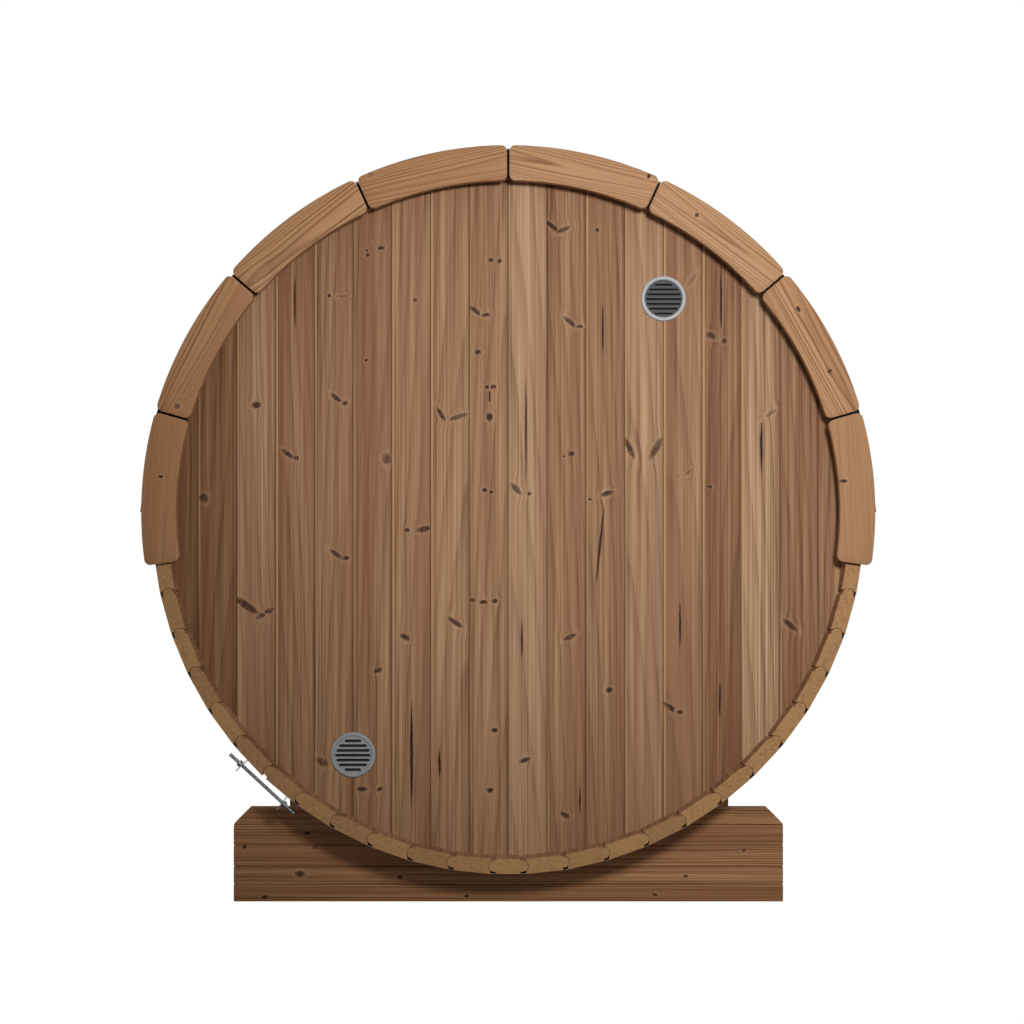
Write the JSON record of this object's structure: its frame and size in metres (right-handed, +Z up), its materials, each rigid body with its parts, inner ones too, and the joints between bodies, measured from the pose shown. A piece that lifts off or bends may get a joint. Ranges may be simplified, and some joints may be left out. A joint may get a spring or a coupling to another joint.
{
  "type": "barrel sauna",
  "caption": "Barrel sauna of bead-and-cove staves with board ends, an arched fascia, a shingle roof, steel bands and stacked-board cradles.",
  "frame": {"origin": "On the ground, under the middle of the barrel", "axes": "+Z up, Y along the barrel with the pictured back end at -Y and the door end at +Y, +X to the right as seen from the back end"},
  "size_m": [2.062, 2.056, 2.1638],
  "materials": {
    "stave_wood": "planed thermo-treated softwood, sawn end grain",
    "wall_wood": "planed thermo-treated softwood boards with knots",
    "fascia_wood": "smooth planed thermo-treated softwood",
    "cradle_wood": "planed thermo-treated softwood, darker",
    "deck_wood": "plain plywood",
    "bitumen": "black mineral-faced bitumen shingle",
    "black_metal": "black coated sheet",
    "galvanised_steel": "zinc-plated steel",
    "light_grey_plastic": "moulded, light grey",
    "mid_grey_plastic": "moulded, mid grey"
  },
  "bodies": {
    "root": {"starter_stave": "stave_wood", "closing_stave": "stave_wood", "right_staves_lowest": "stave_wood", "right_staves_low": "stave_wood", "right_staves_high": "stave_wood", "right_staves_highest": "stave_wood", "left_staves_lowest": "stave_wood", "left_staves_low": "stave_wood", "left_staves_high": "stave_wood", "left_staves_highest": "stave_wood", "back_wall": "wall_wood", "front_wall_left": "wall_wood", "front_wall_right": "wall_wood", "front_wall_over_door": "wall_wood", "front_wall_under_door": "wall_wood", "door_jambs": "fascia_wood", "door_head": "fascia_wood", "door_sill": "fascia_wood", "door_leaf": "wall_wood", "door_hinges": "galvanised_steel", "door_pull": "fascia_wood", "back_fascia_left": "fascia_wood", "back_fascia_right": "fascia_wood", "front_fascia_left": "fascia_wood", "front_fascia_right": "fascia_wood", "roof_deck_left": "deck_wood", "roof_deck_right": "deck_wood", "shingles_left": "bitumen", "shingles_right": "bitumen", "ridge_cap": "bitumen", "eave_battens": "fascia_wood", "back_verge": "black_metal", "front_verge": "black_metal", "back_band": "galvanised_steel", "front_band": "galvanised_steel", "back_tension_rod": "galvanised_steel", "front_tension_rod": "galvanised_steel", "back_band_nuts": "galvanised_steel", "front_band_nuts": "galvanised_steel", "back_cradle": "cradle_wood", "front_cradle": "cradle_wood", "upper_vent": "light_grey_plastic", "lower_vent": "mid_grey_plastic"}
  },
  "joints": []
}
